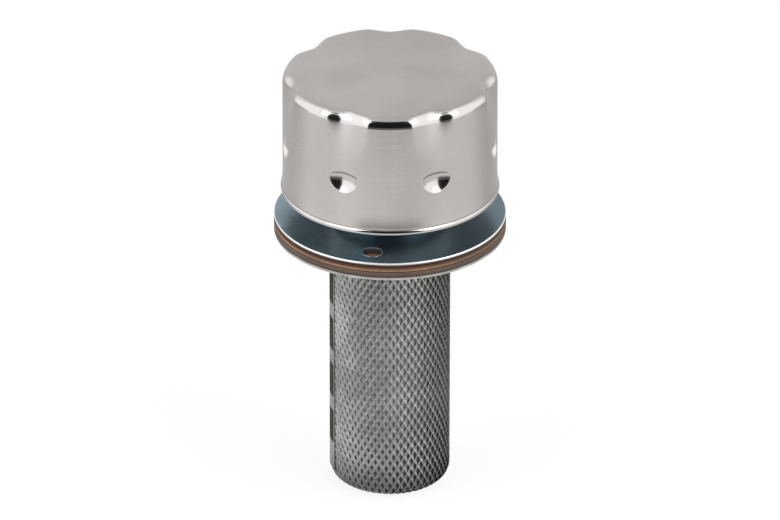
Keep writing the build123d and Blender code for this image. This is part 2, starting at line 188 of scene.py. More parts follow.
class Graph:
    """A shader or geometry node tree that is built by calls."""

    def __init__(self, tree: bpy.types.NodeTree) -> None:
        """Starts from an empty tree."""
        self.tree = tree
        tree.nodes.clear()

    def raw(self, kind: str, settings: dict[str, object] | None = None,
            inputs: dict[str | int, object] | None = None) -> bpy.types.Node:
        """Adds a node, sets its options first, then the values or links of its sockets.

        Args:
            kind: The node's type.
            settings: Its attribute values.
            inputs: Value, Signal or socket for each named or numbered input.

        Returns:
            The node.
        """
        node = self.tree.nodes.new(kind)
        for name, value in (settings or {}).items():
            setattr(node, name, value)
        for key, value in (inputs or {}).items():
            self.plug(node.inputs[key], value)
        return node

    def node(self, kind: str, settings: dict[str, object], *values: object) -> Signal:
        """A node with its first inputs in order, as the signal of its first enabled output."""
        node = self.raw(kind, settings, dict(enumerate(values)))
        return Signal(self, next(out for out in node.outputs if out.enabled))

    def plug(self, socket: bpy.types.NodeSocket, value: object) -> None:
        """Links a signal or socket to an input, or sets its plain value.

        Args:
            socket: The input.
            value: Signal, output socket or plain value.
        """
        if isinstance(value, Signal):
            self.tree.links.new(value.socket, socket)
        elif isinstance(value, bpy.types.NodeSocket):
            self.tree.links.new(value, socket)
        else:
            socket.default_value = value

    def out(self, node: bpy.types.Node, name: str | int) -> Signal:
        """The signal of one of a node's outputs."""
        return Signal(self, node.outputs[name])

    def split(self, vector: object) -> tuple[Signal, Signal, Signal]:
        """The three parts of a vector as signals."""
        node = self.raw("ShaderNodeSeparateXYZ", None, {0: vector})
        return self.out(node, 0), self.out(node, 1), self.out(node, 2)

    def join(self, parts: dict[int, object]) -> bpy.types.NodeSocket:
        """The vector of these parts, with 0 for those left out."""
        return self.raw("ShaderNodeCombineXYZ", None, parts).outputs[0]


class Paint(Graph):
    """A material's node tree round one Principled shader."""

    def __init__(self, name: str) -> None:
        """Creates the material with its shader and output.

        Args:
            name: The material's name.
        """
        self.material = bpy.data.materials.new(name)
        self.material.use_nodes = True
        super().__init__(self.material.node_tree)
        self.shader = self.raw("ShaderNodeBsdfPrincipled")
        self.raw("ShaderNodeOutputMaterial", None, {"Surface": self.shader.outputs[0]})
        self.place = self.raw("ShaderNodeTexCoord").outputs["Object"]

    def finish(self, **values: object) -> bpy.types.Material:
        """Sets the shader's sockets and hands the material over.

        Args:
            **values: Value or Signal for each socket, with underscores for the spaces in its name.

        Returns:
            The material.
        """
        for name, value in values.items():
            self.plug(self.shader.inputs[name.replace("_", " ")], value)
        return self.material

    def axes(self) -> tuple[Signal, Signal, Signal]:
        """The object coordinates as three signals."""
        return self.split(self.place)

    def _stretched(self, stretch: Point) -> bpy.types.NodeSocket:
        """The object coordinates, stretched along each axis."""
        return self.raw("ShaderNodeMapping", None, {"Vector": self.place, "Scale": stretch}).outputs[0]

    def noise(self, scale: float, detail: float = 3.0, stretch: Point = (1, 1, 1)) -> Signal:
        """Noise on object coordinates, from 0 to 1.

        Args:
            scale: Waves per metre.
            detail: Octaves.
            stretch: Factor on each axis.

        Returns:
            The noise.
        """
        node = self.raw("ShaderNodeTexNoise", None, {
            "Vector": self._stretched(stretch), "Scale": scale, "Detail": detail})
        return self.out(node, "Fac")

    def cells(self, scale: float, stretch: Point = (1, 1, 1)) -> Signal:
        """Distance to the nearest of scattered points, as many in a metre as the scale says."""
        node = self.raw("ShaderNodeTexVoronoi", None, {"Vector": self._stretched(stretch), "Scale": scale})
        return self.out(node, "Distance")

    def blend(self, share: "float | Signal", first: object, second: object) -> Signal:
        """Colour mix of two colours or signals."""
        node = self.raw("ShaderNodeMix", {"data_type": "RGBA"}, {0: share, 6: first, 7: second})
        return self.out(node, 2)

    def bump(self, height: Signal, distance: float, strength: float) -> Signal:
        """Normal from a height signal."""
        inputs = {"Strength": strength, "Distance": distance, "Height": height}
        return self.out(self.raw("ShaderNodeBump", None, inputs), 0)


# ------------------------------------------------------------------------------ finishes
@dataclass(frozen=True)
class SatinChrome:
    """Chromed pressing: fine grained satin on the walls, mirror bright where it was drawn hard."""

    tone: Colour = colour(196, 192, 190)
    worn: Colour = colour(184, 180, 177)
    satin: float = 0.27
    bright: float = 0.1
    grain: float = 900.0

    def build(self) -> bpy.types.Material:
        """The chrome, with its polish read from the piece's polish attribute.

        Returns:
            The material.
        """
        paint = Paint("satin_chrome")
        polish = paint.out(paint.raw("ShaderNodeAttribute", {"attribute_name": "polish"}), "Fac")
        cloud = paint.noise(26.0, 4.0, (1, 1, 0.4))
        rubbed = paint.noise(self.grain, 3.0, (0.02, 0.02, 1))
        sweep = paint.noise(60.0, 4.0, (0.5, 1.6, 0.6))
        satin = self.satin + (cloud - 0.5) * 0.08 + (rubbed - 0.5) * 0.06 + (sweep - 0.5) * 0.1
        return paint.finish(
            Base_Color=paint.blend(cloud.step(0.35, 0.65), self.tone, self.worn), Metallic=1.0,
            Roughness=satin + (self.bright - satin) * polish,
            Normal=paint.bump(rubbed * 0.4 + sweep, 0.00002, 0.3))


@dataclass(frozen=True)
class BlueZinc:
    """Blue passivated zinc on rolled steel, with a bare sheared rim painted near white as a highlight over
    a painted shadow at its foot.
    """

    deep: Colour = colour(112, 137, 151)
    pale: Colour = colour(150, 169, 178)
    # Painted shade: the sheet darkens towards the right side.
    drained: Colour = colour(88, 110, 122)
    # The bare rim's near-white tone is a painted highlight; its foot below is painted shadow.
    rim: Colour = colour(226, 230, 231)
    rim_foot: Colour = colour(92, 72, 58)
    rim_width: float = 0.3 * MM         # from the plate's edge inwards
    rim_rise: float = 0.75 * MM         # where the painted highlight on the shear starts, above the painted shadow, from the plate's underside
    roughness: float = 0.21
    metal: float = 0.88

    def build(self) -> bpy.types.Material:
        """Zinc with rolling marks, blotches of the passivate, painted shade towards the right, and a few
        scuffs.

        Returns:
            The material.
        """
        low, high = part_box("bayonet_flange")
        rim_r, rim_z = high[0] - self.rim_width, low[2] + self.rim_rise
        paint = Paint("blue_zinc")
        x, y, z = paint.axes()
        rim = ((x * x + y * y) ** 0.5).step(rim_r - 0.05 * MM, rim_r + 0.05 * MM)
        edge = z.step(rim_z - 0.1 * MM, rim_z + 0.1 * MM)
        blotch = paint.noise(45.0, 4.0)
        rolling = paint.noise(260.0, 3.0, (0.06, 1, 1))
        scuff = paint.noise(700.0, 2.0, (1.0, 0.05, 1)).step(0.68, 0.75)
        sheet = paint.blend(blotch.step(0.3, 0.7), self.deep, self.pale)
        # Painted shade, darker towards the right.
        sheet = paint.blend(x.step(-30 * MM, 40 * MM) * 0.75, sheet, self.drained)
        return paint.finish(
            # The rim: painted shadow at its foot, painted highlight above.
            Base_Color=paint.blend(rim, sheet, paint.blend(edge, self.rim_foot, self.rim)),
            Metallic=self.metal,
            Roughness=self.roughness + blotch * 0.08 + rolling * 0.06 + scuff * 0.1 + rim * 0.16,
            Normal=paint.bump(rolling + scuff * 0.4, 0.00002, 0.4))


@dataclass(frozen=True)
class BrightZinc:
    """Bright zinc on sheet steel."""

    tone: Colour = colour(196, 196, 192)
    dull: Colour = colour(158, 157, 152)

    def build(self) -> bpy.types.Material:
        """Zinc with soft crystal mottling and dulled patches.

        Returns:
            The material.
        """
        paint = Paint("bright_zinc")
        spangle = paint.cells(240.0)
        patch = paint.noise(60.0, 4.0)
        return paint.finish(
            Base_Color=paint.blend((patch * 0.7 + spangle * 0.4).step(0.3, 0.8), self.tone, self.dull),
            Metallic=1.0, Roughness=0.26 + patch * 0.16,
            Normal=paint.bump(patch + spangle * 0.3, 0.00003, 0.4))


@dataclass(frozen=True)
class ExpandedMetal:
    """Zinc dipped strands, darker towards the foot."""

    tone: Colour = colour(172, 172, 171)
    dull: Colour = colour(138, 138, 137)
    # Darker tone that the strands take towards the foot.
    oily: Colour = colour(84, 83, 81)
    clean_height: float = 15.0 * MM     # above the basket's foot
    oily_height: float = 1.0 * MM

    def build(self) -> bpy.types.Material:
        """Mottled zinc that darkens at the foot.

        Returns:
            The material.
        """
        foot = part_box("basket_bottom")[0][2]
        paint = Paint("basket_zinc")
        _, _, z = paint.axes()
        spangle = paint.cells(420.0)
        patch = paint.noise(60.0, 4.0)
        zinc = paint.blend((patch * 0.7 + spangle * 0.4).step(0.3, 0.8), self.tone, self.dull)
        # Darkened towards the foot.
        above_foot = z.step(foot + self.oily_height, foot + self.clean_height)
        return paint.finish(
            Base_Color=paint.blend((1 - above_foot) * 0.8, zinc, self.oily),
            Metallic=0.95, Roughness=0.36 + patch * 0.16,
            Normal=paint.bump(patch + spangle * 0.3, 0.00003, 0.4))


@dataclass(frozen=True)
class FineGauze:
    """Woven gauze behind the expanded metal, too fine to see its wires, darker towards the foot."""

    tone: Colour = colour(176, 176, 175)
    # Darker tone that the gauze takes towards the foot.
    oily: Colour = colour(92, 91, 89)
    fade: float = 47.0 * MM             # height above the foot at which its darkening ends

    def build(self) -> bpy.types.Material:
        """Grey cloth of wire that darkens downwards.

        Returns:
            The material.
        """
        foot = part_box("basket_bottom")[0][2]
        paint = Paint("gauze_zinc")
        _, _, z = paint.axes()
        patch = paint.noise(80.0, 3.0)
        # Darkened towards the foot.
        above_foot = ((z - foot) / self.fade + (patch - 0.5) * 0.5).step(0.0, 1.0)
        return paint.finish(
            Base_Color=paint.blend(above_foot, self.oily, self.tone), Metallic=0.4,
            Roughness=0.55 + patch * 0.1)


@dataclass(frozen=True)
class SeamShadowPaint:
    """Painted shadow of the lapped sheet's edge along the folded seam between its welds."""

    tone: Colour = colour(48, 44, 41)
    pale: Colour = colour(76, 72, 68)

    def build(self) -> bpy.types.Material:
        """Dark painted shadow with a little paler metal.

        Returns:
            The material.
        """
        paint = Paint("seam_painted_shadow")
        patch = paint.noise(700.0, 3.0)
        return paint.finish(
            # Painted shadow of the lapped edge, with paler patches.
            Base_Color=paint.blend(patch.step(0.45, 0.75), self.tone, self.pale),
            Roughness=0.75 + patch * 0.2, Specular_IOR_Level=0.15,
            Normal=paint.bump(patch, 0.00005, 0.4))


@dataclass(frozen=True)
class CorkRubber:
    """Pressed granules of cork in brown rubber, squeezed round at the rim of one gasket."""

    name: str
    node: str
    # Band colours from foot to top: painted light and shade of the rounded rim.
    lower: Colour
    middle: Colour
    upper: Colour
    granule: Colour = colour(52, 36, 28)
    stain: Colour = colour(60, 47, 38)
    # Painted shade laid over the right side.
    shaded: Colour = colour(66, 52, 42)
    # Painted shade in the gaps at the rim's top and foot.
    joint: Colour = colour(38, 26, 20)

    def build(self) -> bpy.types.Material:
        """Granules in three bands up the rim that are painted light and shade of its rounded side, with
        painted shade in the joints at its top and foot and towards the right.

        Returns:
            The material.
        """
        low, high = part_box(self.node)
        paint = Paint(self.name)
        x, _, z = paint.axes()
        share = (z - low[2]) / (high[2] - low[2])
        granule = paint.cells(1500.0)
        fine = paint.noise(4200.0, 3.0)
        patch = paint.noise(90.0, 3.0)
        # Painted light and shade up the rim.
        band = paint.blend(share.step(0.3, 0.7), self.lower, self.middle)
        band = paint.blend(share.step(0.72, 0.84), band, self.upper)
        base = paint.blend(granule.step(0.3, 0.65) * 0.3, band, self.granule)
        tint = paint.blend(patch.step(0.4, 0.8) * 0.35, base, self.stain)
        # Painted shade towards the right.
        tint = paint.blend(x.step(6 * MM, 30 * MM) * 0.5, tint, self.shaded)
        off_middle = (share - 0.5).size()
        bulge = 1 - (off_middle * 2.0) ** 4.0
        return paint.finish(
            # Painted shade in the joints at the top and foot.
            Base_Color=paint.blend(off_middle.step(0.44, 0.5) * 0.7, tint, self.joint),
            Roughness=0.55 + fine * 0.2, Specular_IOR_Level=0.4,
            Normal=paint.bump(fine * 0.25 - granule * 0.4 + bulge * 2.0, 0.0002, 0.5))


@dataclass(frozen=True)
class OpenFoam:
    """Dark open cell filter foam."""

    web: Colour = colour(74, 74, 78)
    pit: Colour = colour(18, 18, 20)

    def build(self) -> bpy.types.Material:
        """Cells as pits in a dark web.

        Returns:
            The material.
        """
        paint = Paint("open_foam")
        pore = paint.cells(1100.0)
        return paint.finish(
            Base_Color=paint.blend(pore.step(0.1, 0.5), self.web, self.pit), Roughness=0.95,
            Normal=paint.bump(pore, 0.0004, 0.9))


@dataclass(frozen=True)
class NitrileRubber:
    """Moulded black rubber."""

    black: Colour = colour(28, 28, 30)
    bloomed: Colour = colour(52, 52, 54)

    def build(self) -> bpy.types.Material:
        """Black rubber with a faint bloom.

        Returns:
            The material.
        """
        paint = Paint("nitrile")
        bloom = paint.noise(180.0, 4.0)
        return paint.finish(
            Base_Color=paint.blend(bloom.step(0.4, 0.8), self.black, self.bloomed),
            Roughness=0.45 + bloom * 0.2, Normal=paint.bump(bloom, 0.00005, 0.4))


@dataclass(frozen=True)
class SpringSteel:
    """Drawn and oiled spring wire."""

    dark: Colour = colour(92, 92, 96)
    light: Colour = colour(138, 138, 140)

    def build(self) -> bpy.types.Material:
        """Dark steel with fine drawing marks.

        Returns:
            The material.
        """
        paint = Paint("spring_steel")
        mark = paint.noise(900.0, 3.0, (1, 1, 0.2))
        return paint.finish(
            Base_Color=paint.blend(mark, self.dark, self.light), Metallic=1.0,
            Roughness=0.26 + mark * 0.15, Normal=paint.bump(mark, 0.00002, 0.4))


class Stock(Enum):
    """The finishes that the pieces are made in."""

    CHROME = SatinChrome()
    BLUE_ZINC = BlueZinc()
    BRIGHT_ZINC = BrightZinc()
    BASKET_ZINC = ExpandedMetal()
    GAUZE = FineGauze()
    SEAM_SHADOW = SeamShadowPaint()
    # Each gasket's bands, foot to top, are painted light and shade: the upper one's pale foot is a painted
    # highlight, its dark top a painted shadow under the flange.
    LOWER_GASKET = CorkRubber("cork_rubber", "lower_gasket",
                              colour(84, 70, 62), colour(104, 84, 72), colour(112, 86, 70))
    UPPER_GASKET = CorkRubber("cork_rubber_upper", "upper_gasket",
                              colour(156, 118, 90), colour(78, 49, 32), colour(70, 43, 28))
    FOAM = OpenFoam()
    RUBBER = NitrileRubber()
    SPRING = SpringSteel()


class PaintShop:
    """Builds each finish once and applies it."""

    def __init__(self) -> None:
        """Starts with nothing mixed."""
        self._mixed: dict[Stock, bpy.types.Material] = {}

    def get(self, stock: Stock) -> bpy.types.Material:
        """The material of a finish.

        Args:
            stock: The finish.

        Returns:
            Its material, built at the first call.
        """
        if stock not in self._mixed:
            self._mixed[stock] = stock.value.build()
        return self._mixed[stock]

    def coat(self, piece: bpy.types.Object, stock: Stock) -> bpy.types.Object:
        """Gives a piece one finish all over.

        Args:
            piece: The piece.
            stock: The finish.

        Returns:
            The piece.
        """
        piece.data.materials.clear()
        piece.data.materials.append(self.get(stock))
        return piece


# ------------------------------------------------------------------------------ mesh helpers
def new_piece(name: str, mesh: bpy.types.Mesh) -> bpy.types.Object:
    """Links a mesh to the scene as a piece at the origin.

    Args:
        name: The piece's name.
        mesh: Its mesh.

    Returns:
        The piece.
    """
    piece = bpy.data.objects.new(name, mesh)
    bpy.context.scene.collection.objects.link(piece)
    return piece


def skin(bm: bmesh.types.BMesh, rings: Sequence[Sequence[bmesh.types.BMVert]],
         closed: bool = False) -> list[bmesh.types.BMFace]:
    """Makes faces between neighbouring rings of vertices.

    Args:
        bm: The mesh.
        rings: Rings with as many vertices each. A pole is a ring of one vertex repeated.
        closed: Whether the last ring meets the first.

    Returns:
        The faces.
    """
    faces = []
    count = len(rings[0])
    following = list(rings[1:]) + list(rings[:1] if closed else [])
    for first, second in zip(rings, following):
        for here in range(count):
            after = (here + 1) % count
            corners = dict.fromkeys((first[here], second[here], second[after], first[after]))
            if len(corners) > 2:
                faces.append(bm.faces.new(list(corners)))
    return faces


def settle(bm: bmesh.types.BMesh, name: str, smooth: bool = True) -> bpy.types.Object:
    """Welds, turns the faces outwards and makes a piece of a bmesh.

    Args:
        bm: The mesh, which is freed.
        name: The piece's name.
        smooth: Whether its faces are shaded smooth.

    Returns:
        The piece.
    """
    bmesh.ops.remove_doubles(bm, verts=bm.verts, dist=1e-7)
    bmesh.ops.recalc_face_normals(bm, faces=bm.faces)
    for face in bm.faces:
        face.smooth = smooth
    mesh = bpy.data.meshes.new(name)
    bm.to_mesh(mesh)
    bm.free()
    return new_piece(name, mesh)


def carry(piece: bpy.types.Object, body: str, node: str | None = None) -> None:
    """Sets a finished piece on its body.

    Args:
        piece: The piece.
        body: The body that it rides.
        node: The CAD node that it stands for, if any.
    """
    if node is not None:
        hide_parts(node)
    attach(piece, body)
    log.info("%s: %d faces", piece.name, len(piece.data.polygons))


# ------------------------------------------------------------------------------ cap shell
class Row(NamedTuple):
    """One ring of the shell's skin."""

    radius: float
    z: float
    share: float = 1.0      # of the way from the axis to the outline, 0 at the crown's middle
    polish: float = 0.0
    inset: float = 0.0      # of its skin from the outer skin


@dataclass
class CapShell:
    """Drawn cap with flutes round the crown, pressed dimples and a rolled rim."""

    shop: PaintShop
    wall: float = 0.8 * MM
    wall_r: float = 38.35 * MM
    crown_edge: float = 3.9 * MM
    crown_rings: int = 9
    crown_edge_steps: int = 14
    flutes: int = 7
    flute_depth: float = 2.9 * MM
    flute_half_angle: float = math.radians(14.2)
    flute_fullness: float = 0.78
    flute_length: float = 21.5 * MM
    flute_fade: float = 1.5
    dimple_height: float = 19.5 * MM
    dimple_half_length: float = 9.2 * MM
    dimple_nose: float = 4.74 * MM
    dimple_offset: float = 2.54 * MM
    dimple_soft: float = 0.22 * MM
    dimple_deep: float = 1.5 * MM       # the deepest line lies this far above the middle
    dimple_half_height: float = 4.0 * MM
    dimple_reach: tuple[float, float] = (1.15, 1.3)     # past its length and its nose
    dimple_polish: float = 0.7
    dimple_polish_depth: float = 0.35 * MM              # pressed this far in, the polish is full
    flare: float = 0.75 * MM
    flare_height: float = 6.0 * MM
    flare_steps: int = 10
    crease: float = 0.35 * MM
    bead: float = 1.2 * MM
    bead_start: float = math.radians(62)
    bead_turn: float = math.radians(276)
    bead_steps: int = 22
    bead_meet: float = 0.9              # the skirt ends this share of the bead's radius above its middle
    bead_polish: float = 0.85
    fine_half_angle: float = math.radians(11)           # close columns across flutes and dimples
    fine_columns: int = 48
    coarse_columns: int = 18
    fine_half_height: float = 4.3 * MM                  # close rows across the dimples
    outer_rows: tuple[int, float] = (44, 0.7 * MM)      # fine rows, height of a coarse one
    inner_rows: tuple[int, float] = (16, 1.6 * MM)
    low: float = field(init=False)
    high: float = field(init=False)
    skirt_top: float = field(init=False)
    dimple_z: float = field(init=False)
    flute_foot: float = field(init=False)
    angles: list[float] = field(init=False)

    def __post_init__(self) -> None:
        """Takes the levels from the frame."""
        low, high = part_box("cap_shell")
        self.low, self.high = low[2], high[2]
        self.skirt_top = self.low + 2 * self.bead + self.flare_height
        self.dimple_z = self.low + self.dimple_height
        self.flute_foot = self.high - self.flute_length
        self.angles = self._spread_angles()

    def _spread_angles(self) -> list[float]:
        """Angles of the mesh's columns, close together across the flutes and dimples.

        Returns:
            Angles from the front, in radians.
        """
        pitch = 2 * math.pi / self.flutes
        near = self.fine_half_angle
        fine = [-near + 2 * near * step / self.fine_columns for step in range(self.fine_columns)]
        coarse = [near + (pitch - 2 * near) * step / self.coarse_columns
                  for step in range(self.coarse_columns)]
        return [pitch * (lobe + 0.5) + offset for lobe in range(self.flutes) for offset in fine + coarse]

    def _wall_levels(self, top: float, foot: float, fine_steps: int, coarse_step: float) -> list[float]:
        """Levels of the plain wall's rows, close together across the dimples.

        Args:
            top: Upper end of the plain wall.
            foot: Its lower end.
            fine_steps: Rows across the dimples.
            coarse_step: Height of the other rows.

        Returns:
            Levels from the top down.
        """
        high = self.dimple_z + self.fine_half_height
        low = self.dimple_z - self.fine_half_height
        levels: list[float] = []
        for start, end, steps in ((top, high, max(2, round((top - high) / coarse_step))),
                                  (high, low, fine_steps),
                                  (low, foot, max(2, round((low - foot) / coarse_step)))):
            levels += [start + (end - start) * step / steps for step in range(1, steps + 1)]
        return levels

    def lobe_offset(self, angle: float) -> float:
        """Angle from the centre line of the nearest flute."""
        pitch = 2 * math.pi / self.flutes
        return (angle % pitch) - pitch / 2

    def flute(self, angle: float, z: float, top: float) -> float:
        """How deep the flutes are.

        Args:
            angle: Angle from the front.
            z: Level.
            top: Level of the crown's skin.

        Returns:
            The depth, 0 away from the flutes.
        """
        share = (z - self.flute_foot) / (top - self.flute_foot)
        offset = abs(self.lobe_offset(angle))
        if share <= 0 or offset >= self.flute_half_angle:
            return 0.0
        wave = (1 + math.cos(math.pi * offset / self.flute_half_angle)) / 2
        return self.flute_depth * min(share, 1.0) ** self.flute_fade * wave ** self.flute_fullness

    def dimple(self, angle: float, z: float, inset: float) -> float:
        """How far a dimple's skin lies inside the plain wall, along the dimple's own axis.

        Args:
            angle: Angle from the front.
            z: Level.
            inset: Distance of the skin from the outer skin.

        Returns:
            The push towards the axis, 0 away from the dimples.
        """
        radius = self.wall_r - inset
        offset = self.lobe_offset(angle)
        along = radius * math.sin(offset)
        half_length = self.dimple_half_length + inset
        nose_r = self.dimple_nose + inset
        rise = z - self.dimple_z - self.dimple_deep
        rise *= self.dimple_half_height / (self.dimple_half_height - math.copysign(self.dimple_deep, rise))
        if abs(along) >= half_length * self.dimple_reach[0] or abs(rise) > nose_r * self.dimple_reach[1]:
            return 0.0
        girth = nose_r * max(0.0, 1 - (along / half_length) ** 2)
        reach = girth ** 2 - rise ** 2
        plain = radius * math.cos(offset)
        nose = self.wall_r + self.dimple_offset - (math.sqrt(reach) if reach > 0 else -math.sqrt(-reach))
        soft = self.dimple_soft
        mix = max(0.0, min(1.0, 0.5 + 0.5 * (nose - plain) / soft))
        pressed = nose + (plain - nose) * mix - soft * mix * (1 - mix)
        return max(0.0, plain - pressed)

    @staticmethod
    def _edge_polish(turn: float) -> float:
        """Polish round the crown's edge: full but for its first few degrees."""
        return min(1.0, 2.4 * math.sin(2 * turn) + (1.0 if turn > 0.8 else 0.0))

    def profile(self, inset: float) -> list[Row]:
        """One skin, from the crown's middle down to the bead.

        Args:
            inset: Distance of the skin from the outer skin.

        Returns:
            Its rows.
        """
        top = self.high - inset
        edge = self.crown_edge - inset
        radius = self.wall_r - inset
        rows = [Row(radius - edge, top, step / self.crown_rings, 0.0, inset)
                for step in range(self.crown_rings)]
        for step in range(self.crown_edge_steps + 1):
            turn = math.pi / 2 * step / self.crown_edge_steps
            rows.append(Row(radius - edge + edge * math.sin(turn), top - edge * (1 - math.cos(turn)),
                            1.0, self._edge_polish(turn), inset))
        spread = self.inner_rows if inset else self.outer_rows
        rows += [Row(radius, z, 1.0, 0.0, inset)
                 for z in self._wall_levels(top - edge, self.skirt_top, *spread)]
        skirt_r = self.wall_r + self.flare - self.crease - inset
        skirt_foot = self.low + self.bead + self.bead_meet * self.bead
        for step in range(1, self.flare_steps + 1):
            share = step / self.flare_steps
            rows.append(Row(radius + (skirt_r - radius) * share ** 2,
                            self.skirt_top + (skirt_foot - self.skirt_top) * share, 1.0, 0.0, inset))
        return rows

    def roll(self) -> list[Row]:
        """The rolled bead, from its outer meeting with the skirt round to its inner one.

        Returns:
            Its rows.
        """
        rows = []
        for step in range(self.bead_steps + 1):
            turn = self.bead_start - self.bead_turn * step / self.bead_steps
            rows.append(Row(self.wall_r + self.flare - self.bead + self.bead * math.cos(turn),
                            self.low + self.bead + self.bead * math.sin(turn), 1.0, self.bead_polish))
        return rows

    def _ring(self, bm: bmesh.types.BMesh, polish: bmesh.types.BMLayerItem,
              row: Row) -> list[bmesh.types.BMVert]:
        """The vertices of one row, pressed in by its flutes and dimples.

        Args:
            bm: The mesh.
            polish: Its polish layer.
            row: The row.

        Returns:
            One vertex for each column.
        """
        if row.share == 0.0:
            return [bm.verts.new((0, 0, row.z))] * len(self.angles)
        ring = []
        dimpled = row.share == 1.0 and row.z < self.flute_foot
        for angle in self.angles:
            around = angle - math.pi / 2
            lobe = around - self.lobe_offset(angle)
            reach = (row.radius - self.flute(angle, row.z, self.high - row.inset)) * row.share
            push = self.dimple(angle, row.z, row.inset) if dimpled else 0.0
            vert = bm.verts.new((reach * math.cos(around) - push * math.cos(lobe),
                                 reach * math.sin(around) - push * math.sin(lobe), row.z))
            pressed = min(1.0, push / self.dimple_polish_depth)
            vert[polish] = max(row.polish, self.dimple_polish * pressed)
            ring.append(vert)
        return ring

    def build(self) -> bpy.types.Object:
        """The shell as one closed mesh with a polish attribute.

        Returns:
            The piece.
        """
        bm = bmesh.new()
        polish = bm.verts.layers.float.new("polish")
        rows = self.profile(0.0) + self.roll() + self.profile(self.wall)[::-1]
        skin(bm, [self._ring(bm, polish, row) for row in rows])
        return settle(bm, "cap_skin")

    def dress(self) -> None:
        """Builds the shell and puts it in place of the CAD shell."""
        carry(self.shop.coat(self.build(), Stock.CHROME), "cap", "cap_shell")


# ------------------------------------------------------------------------------ basket
class SizedTree(Graph):
    """A geometry tree whose sizes are named inputs, baked through a modifier to a plain piece."""

    def __init__(self, name: str, sizes: dict[str, float]) -> None:
        """Makes the tree with its inputs and its output.

        Args:
            name: Name of the tree and of its piece.
            sizes: Value of each named input, in metres.
        """
        super().__init__(bpy.data.node_groups.new(name, "GeometryNodeTree"))
        self.name = name
        sockets = self.tree.interface
        sockets.new_socket("Geometry", in_out="OUTPUT", socket_type="NodeSocketGeometry")
        self.values: dict[str, float] = {}
        for label, value in sizes.items():
            socket = sockets.new_socket(label, in_out="INPUT", socket_type="NodeSocketFloat")
            self.values[socket.identifier] = value
        self.inputs = self.raw("NodeGroupInput")
        self.output = self.raw("NodeGroupOutput")

    def length(self, label: str) -> Signal:
        """One of the tree's named sizes."""
        return self.out(self.inputs, label)

    def spot(self) -> tuple[Signal, Signal, Signal]:
        """The position of each vertex or point."""
        return self.split(self.raw("GeometryNodeInputPosition").outputs[0])

    def moved(self, geometry: bpy.types.NodeSocket, parts: dict[int, object],
              kind: str = "Position") -> bpy.types.NodeSocket:
        """Geometry with its points at a new position, or moved by an offset.

        Args:
            geometry: The geometry.
            parts: The parts of the position or offset.
            kind: Which of the two it is.

        Returns:
            The moved geometry.
        """
        inputs = {"Geometry": geometry, kind: self.join(parts)}
        return self.raw("GeometryNodeSetPosition", None, inputs).outputs[0]

    def bake(self, geometry: bpy.types.NodeSocket, material: bpy.types.Material) -> bpy.types.Object:
        """Sets the material, runs the tree on a carrier and keeps the result.

        Args:
            geometry: The realized geometry.
            material: Its material.

        Returns:
            A plain piece with no modifier.
        """
        painted = self.raw("GeometryNodeSetMaterial", None, {"Geometry": geometry, "Material": material})
        self.plug(self.output.inputs[0], painted.outputs[0])
        carrier = new_piece(self.name + "_carrier", bpy.data.meshes.new(self.name + "_carrier"))
        modifier = carrier.modifiers.new("expanded_metal", "NODES")
        modifier.node_group = self.tree
        for identifier, value in self.values.items():
            modifier[identifier] = value
        evaluated = carrier.evaluated_get(bpy.context.evaluated_depsgraph_get())
        mesh = bpy.data.meshes.new_from_object(evaluated)
        bpy.data.objects.remove(carrier)
        mesh.name = self.name
        return new_piece(self.name, mesh)


